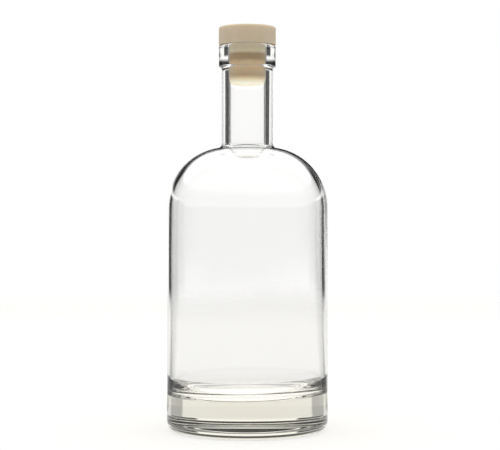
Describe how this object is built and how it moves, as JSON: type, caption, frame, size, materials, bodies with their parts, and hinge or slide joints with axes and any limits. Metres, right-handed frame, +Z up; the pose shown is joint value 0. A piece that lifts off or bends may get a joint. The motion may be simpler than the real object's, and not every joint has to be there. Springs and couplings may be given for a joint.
{
  "type": "glass decanter",
  "caption": "Round clear glass decanter for spirits with a heavy base, a straight neck and a beige push-in stopper that pulls out to pour.",
  "frame": {"origin": "middle of the ring that the bottle stands on", "axes": "+Z up along the bottle's axis, out of its mouth; +X to the right and -Y towards the viewer in the front view"},
  "size_m": [0.09, 0.09, 0.226],
  "materials": {
    "clear_glass": "smooth, clear, very faint grey-green in the thick base",
    "beige_polymer": "matt, fine moulded grain"
  },
  "bodies": {
    "bottle": {"bottle": "clear_glass"},
    "stopper": {"stopper": "beige_polymer"}
  },
  "joints": [
    {"name": "stopper_pull", "type": "slide", "parent": "bottle", "child": "stopper", "axis": [0, 0, 1], "range_m": [0, 0.05]}
  ]
}
